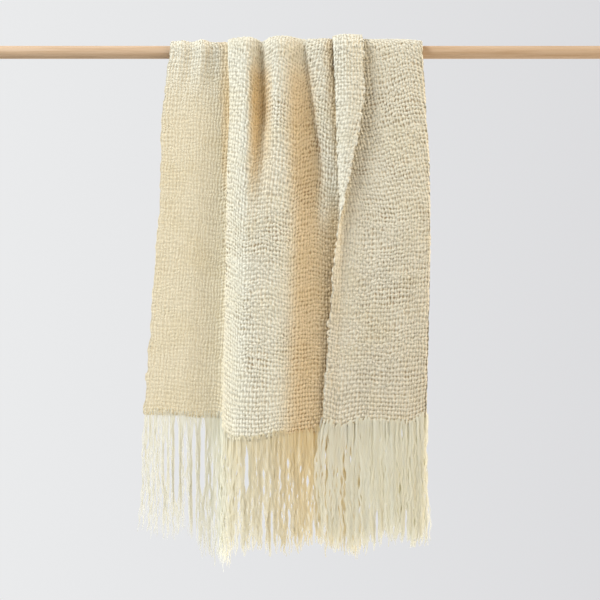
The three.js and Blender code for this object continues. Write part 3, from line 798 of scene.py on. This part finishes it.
def fringe(name, hem_row, plies_each, ring_count, partings, hem_rise):
    """One hem's fringe: every warp end as a few plies, drawn together lock by lock."""
    hem_share = 0.0 if hem_row == 0 else 1.0
    ends, hem_way, _, _ = on_cloth((np.arange(WARPS) + 0.5) / WARPS, np.full(WARPS, hem_share))
    lock = np.zeros(WARPS, int)
    first = 0
    while first < WARPS:
        size = int(rng.integers(*LOCK_YARNS))
        lock[first : first + size] = first
        first += size
    centre = np.array([ends[lock == k].mean(axis=0) for k in lock])
    yarn = np.repeat(np.arange(WARPS), plies_each)
    plies = len(yarn)
    both_ways = (plies, 1, 2)
    t = np.linspace(0, 1, ring_count)[None, :, None]
    down = t[..., 0]
    root = ends[yarn][:, None]
    root_place = (root[:, :, 0] - ROD_MIDDLE) / MM
    uncut = LOCK_UNCUT * rng.standard_normal(WARPS)[lock][yarn] + PLY_UNCUT * rng.standard_normal(plies)
    length = np.interp(root_place[:, 0], CUT_PLACES, CUT_LENGTHS) * MM + uncut * MM

    drawn = np.clip(t / DRAWN_BY, 0, 1)
    drawn = drawn * drawn * (3 - 2 * drawn) * rng.uniform(*DRAWN_SHARE, (plies, 1, 1))
    path = root + (centre[yarn][:, None] - root) * drawn * (1, 1, 0)
    swing = rng.standard_normal((WARPS, 1, 2))[lock][yarn] * LOCK_SWING
    swing = swing + rng.standard_normal(both_ways) * PLY_SWING
    wave = 0
    for height, turns in PLY_WAVES:
        turned = t * rng.uniform(*turns, both_ways) + rng.random(both_ways)
        wave = wave + height * np.sin(2 * math.pi * turned)
    opened = rng.uniform(-1, 1, both_ways) * PLY_STRAY
    opened[:, 0, 0] += np.tile(np.linspace(-PLY_SPREAD, PLY_SPREAD, plies_each), WARPS)
    wave = wave * WAVE_WAYS * np.clip(t / WAVE_FROM, 0, 1)
    path[:, :, :2] += (swing * t**SWING_BEND + wave + opened) * MM
    path[:, :, 0] -= FLARE * down * np.exp((ends[0, 0] - root[:, :, 0]) / FLARE_REACH)
    from_right = (yarn[:, None] - (WARPS - 1)) / CURL_YARNS
    path[:, :, 0] -= CURL * np.sin(math.pi * down**CURL_BEND) * np.exp(from_right)
    for parting, start, end, half_width in partings:
        off = (path[:, :, 0] - ROD_MIDDLE) / MM - parting
        own_side = np.sign(off[:, :1])
        opening = rising(down, start, start + PARTING_EASE) * rising(down, end, end - PARTING_EASE)
        push = np.maximum(PARTING_REACH * half_width - own_side * off, 0) * PARTING_PUSH
        path[:, :, 0] += own_side * push * opening * MM
    above = hem_rise[yarn, None] + rng.uniform(0, ROOT_ABOVE, (plies, 1)) * MM
    path[:, :, 2] += above - (length[:, None] + above) * down
    before = rng.choice(ROOT_BEFORE, (plies, 1)) * MM
    path[:, :, 1] += before * np.clip(1 - down / ROOT_FADE, 0, 1)

    width = PLY_WIDTH * np.interp(down, PLY_PLACES, PLY_TAPER)
    width = width * np.clip(1 + PLY_UNEVEN * soft_noise((plies, ring_count), PLY_RUN), PLY_LEAST, PLY_MOST)
    width = width * np.interp(root_place, SPARSE_PLACES, SPARSE_WIDTH)
    turn = np.arctan2(hem_way[yarn, 1], hem_way[yarn, 0])[:, None, None]
    turn = turn + rng.uniform(-PLY_TURN, PLY_TURN, (plies, 1, 1))
    side = np.concatenate([np.cos(turn), np.sin(turn), 0 * turn], axis=2) + 0 * path
    face = np.concatenate([-np.sin(turn), np.cos(turn), 0 * turn], axis=2) + 0 * path
    # Painted shade of the folds, carried down into the fringe.
    fold_shade = np.clip(fold_shade_and_smoothness[:, hem_row], 0, 1)
    fold_shade = np.convolve(fold_shade, np.full(SHADE_YARNS, 1 / SHADE_YARNS), mode="same")
    fringe_shade = (SHADE_EVEN + SHADE_OF_FOLD * fold_shade[yarn])[:, None] * (1 - SHADE_LOST * down)
    fringe_shade = fringe_shade * np.interp(yarn / WARPS, SHADED_SHARES, SHADED)[:, None]
    cell = np.stack([down + 0 * fringe_shade, 0 * fringe_shade, fringe_shade], axis=2)
    return strands(
        name, path, side, face, width, PLY_FLATNESS * width, PLY_ROUND + 0 * width, cell, 0 * cell,
        0 * width, fringe_wool,
    )


hem_rise = ragged[:, 0] * CLOTH_LENGTH / WEFTS
front_fringe = fringe("fringe_front_locks", 0, 4, 34, PARTINGS, hem_rise)
back_fringe = fringe("fringe_back_locks", -1, 2, 16, [], 0 * hem_rise)
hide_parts("fringe_front")
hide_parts("fringe_back")


# The studio: a plain pale floor well below the fringe, a pale backdrop painted with light, lighter at the
# left where the light comes from, and one large soft light from the left and above.
FLOOR_HEIGHT = -1600 * MM
FLOOR_HALF = 1800 * MM
FLOOR_DEEP = (0.46, 0.465, 0.47, 1)
FLOOR_PALE = (0.54, 0.545, 0.55, 1)
BACKDROP_LEFT = (0.830, 0.837, 0.845, 1)
BACKDROP_RIGHT = (0.715, 0.716, 0.732, 1)
BACKDROP_SWEEP = (-0.2, 0.2)
# The room's light, from the far left to the far right, and from behind the blanket.
ROOM_LEFT = (1.10, 1.24, 1.40, 1)
ROOM_BETWEEN = [(0.2, (0.24, 0.25, 0.26, 1)), (0.55, (0.19, 0.187, 0.18, 1)), (0.82, (0.58, 0.52, 0.44, 1))]
ROOM_RIGHT = (3.9, 3.5, 3.0, 1)
ROOM_BEHIND = (1.0, 0.98, 0.95, 1)
ROOM_BEHIND_FROM = (-0.1, 0.6)
ROOM_BELOW, ROOM_ABOVE = 0.95, 1.4
KEY_SIZE = 4.0
KEY_POWER = 725
KEY_COLOUR = (0.92, 0.98, 1.06)
KEY_PLACE = (ROD_MIDDLE - 6.3, -3.2, 4.4)
KEY_AIM = (ROD_MIDDLE, 0, -0.5)

pale, tree, shader, place = finish_named("pale_floor")
trowelled = mottle(tree, place, scale=3, detail=6)
tree.links.new(two_tones(tree, trowelled, FLOOR_DEEP, FLOOR_PALE), shader.inputs["Base Color"])
shader.inputs["Roughness"].default_value = 0.9
floor_shape = bmesh.new()
bmesh.ops.create_grid(floor_shape, x_segments=1, y_segments=1, size=FLOOR_HALF)
bmesh.ops.translate(floor_shape, verts=floor_shape.verts, vec=(ROD_MIDDLE, 0, FLOOR_HEIGHT))
floor_mesh = bpy.data.meshes.new("floor")
floor_shape.to_mesh(floor_mesh)
floor_shape.free()
floor_mesh.materials.append(pale)
floor = bpy.data.objects.new("floor", floor_mesh)
scene.collection.objects.link(floor)

world = bpy.data.worlds.new("studio")
scene.world = world
world.use_nodes = True
tree = world.node_tree
tree.nodes.clear()
sky = add(tree, "ShaderNodeTexCoord").outputs["Generated"]
way = add(tree, "ShaderNodeSeparateXYZ", {"Vector": sky}).outputs
# Painted light: the backdrop seen from the camera is lighter at the left, where the light falls from.
backdrop = two_tones(tree, ranged(tree, way["X"], *BACKDROP_SWEEP), BACKDROP_LEFT, BACKDROP_RIGHT)
seen = add(tree, "ShaderNodeBackground", {"Color": backdrop}).outputs[0]
room = two_tones(tree, ranged(tree, way["X"], -1, 1), ROOM_LEFT, ROOM_RIGHT)
for stop, light in ROOM_BETWEEN:
    room.node.color_ramp.elements.new(stop).color = light
behind = ranged(tree, way["Y"], *ROOM_BEHIND_FROM)
room = add(tree, "ShaderNodeMix", {0: behind, 6: room, 7: ROOM_BEHIND}, data_type="RGBA").outputs[2]
strength = ranged(tree, way["Z"], -1, 1, ROOM_BELOW, ROOM_ABOVE)
fill = add(tree, "ShaderNodeBackground", {"Color": room, "Strength": strength}).outputs[0]
to_camera = add(tree, "ShaderNodeLightPath").outputs["Is Camera Ray"]
add(tree, "ShaderNodeOutputWorld", {"Surface": blended(tree, to_camera, fill, seen)})

key_data = bpy.data.lights.new("soft_key", "AREA")
key_data.shape = "DISK"
key_data.size = KEY_SIZE
key_data.energy = KEY_POWER
key_data.color = KEY_COLOUR
key = bpy.data.objects.new("soft_key", key_data)
key.location = KEY_PLACE
aim = np.array(KEY_AIM) - np.array(key.location)
key.rotation_euler = (math.acos(-aim[2] / np.linalg.norm(aim)), 0, math.atan2(aim[1], aim[0]) - math.pi / 2)
scene.collection.objects.link(key)
